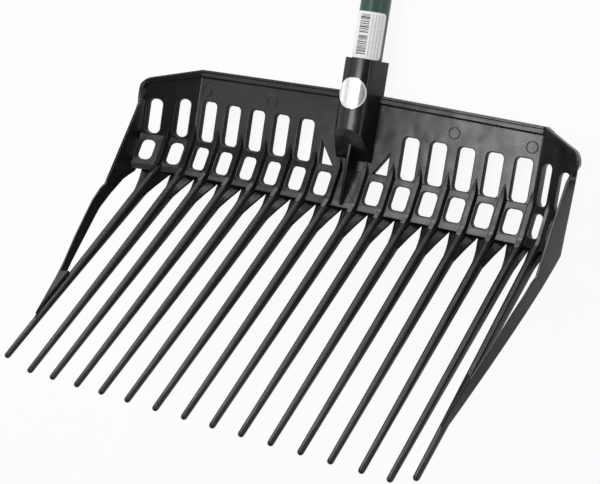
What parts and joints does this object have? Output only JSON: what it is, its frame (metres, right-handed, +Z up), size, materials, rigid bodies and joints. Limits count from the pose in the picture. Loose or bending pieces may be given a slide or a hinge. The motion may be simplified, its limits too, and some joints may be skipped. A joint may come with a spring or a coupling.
{
  "type": "manure fork",
  "caption": "Basket-shaped manure fork: black moulded head with parallel straight tines, slotted back and folded sides, on a round green tube handle with a grip.",
  "frame": {"origin": "on the floor under the middle of the fork's bounding box, the fork lying on its back", "axes": "+X to the right with the tines towards the viewer, +Y along the handle towards the grip, +Z up, away from the back of the head"},
  "size_m": [0.41, 1.4288, 0.2155],
  "materials": {
    "head_plastic": "satin moulded plastic",
    "tube_paint": "semi-gloss paint",
    "grip_plastic": "matt",
    "screw_steel": "zinc plated",
    "label_film": "printed film",
    "sticker_foil": "foil"
  },
  "bodies": {
    "root": {"back_plate": "head_plastic", "heel_plate": "head_plastic", "left_wing": "head_plastic", "left_wing_heel": "head_plastic", "right_wing": "head_plastic", "right_wing_heel": "head_plastic", "top_rim": "head_plastic", "left_wing_rim": "head_plastic", "right_wing_rim": "head_plastic", "left_cheek": "head_plastic", "right_cheek": "head_plastic", "left_strut": "head_plastic", "right_strut": "head_plastic", "socket": "head_plastic", "socket_fin": "head_plastic", "tine_ribs": "head_plastic", "tine_roots": "head_plastic", "tine_01": "head_plastic", "tine_02": "head_plastic", "tine_03": "head_plastic", "tine_04": "head_plastic", "tine_05": "head_plastic", "tine_06": "head_plastic", "tine_07": "head_plastic", "tine_08": "head_plastic", "tine_09": "head_plastic", "tine_10": "head_plastic", "tine_11": "head_plastic", "tine_12": "head_plastic", "tine_13": "head_plastic", "tine_14": "head_plastic", "tine_15": "head_plastic", "tine_16": "head_plastic", "handle_tube": "tube_paint", "handle_grip": "grip_plastic", "fixing_screw": "screw_steel", "handle_label": "label_film", "socket_sticker": "sticker_foil"}
  },
  "joints": []
}
